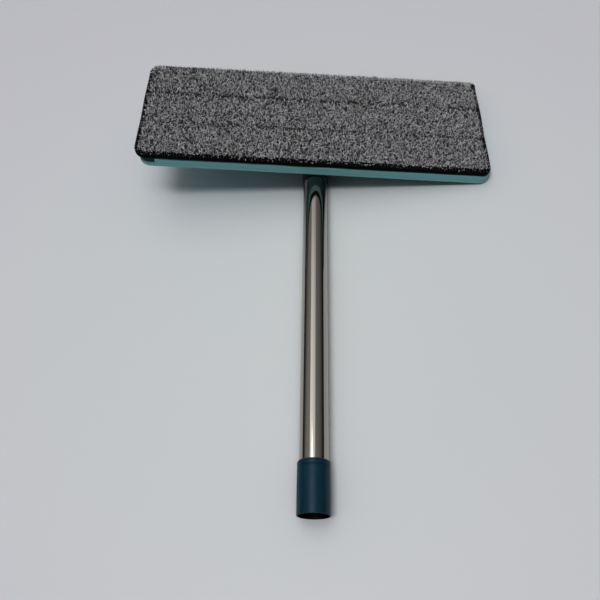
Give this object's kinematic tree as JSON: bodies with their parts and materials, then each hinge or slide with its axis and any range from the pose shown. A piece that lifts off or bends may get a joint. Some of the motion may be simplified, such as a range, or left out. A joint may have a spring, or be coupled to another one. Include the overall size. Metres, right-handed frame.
{
  "type": "window squeegee",
  "caption": "Flat window-cleaning head with a hook-and-loop microfibre pad, a rubber blade on its long edge and a folding steel handle that takes an extension pole.",
  "frame": {"origin": "centre of the handle's open end, where an extension pole goes in", "axes": "+Y along the handle towards the head, +X along the blade, +Z out of the pad"},
  "size_m": [0.3285, 0.4295, 0.0485],
  "materials": {
    "mint_plastic": "satin moulded",
    "teal_plastic": "fine matt moulded",
    "stainless_tube": "drawn and polished",
    "fastener_steel": "zinc plated",
    "blade_rubber": "smooth",
    "hook_tape": "woven hook tape",
    "pad_cloth": "woven binding",
    "pad_foam": "open-cell foam",
    "pad_pile": "twisted microfibre pile",
    "washer_plastic": "natural nylon",
    "black_plastic": "fine matt moulded"
  },
  "bodies": {
    "head": {"head_plate": "mint_plastic", "hook_strip_near": "hook_tape", "hook_strip_far": "hook_tape", "pivot_bracket": "teal_plastic", "bracket_screws": "fastener_steel", "hinge_bolt": "fastener_steel", "hinge_nut": "fastener_steel", "friction_washer_left": "washer_plastic", "friction_washer_right": "washer_plastic", "blade_rail": "teal_plastic", "squeegee_blade": "blade_rubber", "rail_end_cap_left": "teal_plastic", "rail_end_cap_right": "teal_plastic", "rail_screws": "fastener_steel"},
    "handle": {"neck": "teal_plastic", "neck_plug": "black_plastic", "plug_rivets": "fastener_steel", "tube": "stainless_tube", "thread_insert": "black_plastic", "end_sleeve": "teal_plastic"},
    "pad": {"pad_backing": "pad_cloth", "pad_foam": "pad_foam", "pad_pile": "pad_pile", "pad_binding": "pad_cloth"}
  },
  "joints": [
    {"name": "head_pivot", "type": "hinge", "parent": "head", "child": "handle", "pos_m": [0, 0.357, 0], "axis": [1, 0, 0], "range_deg": [0, 180]},
    {"name": "pad_peel", "type": "slide", "parent": "head", "child": "pad", "axis": [0, 0, 1], "range_m": [0, 0.04]}
  ]
}
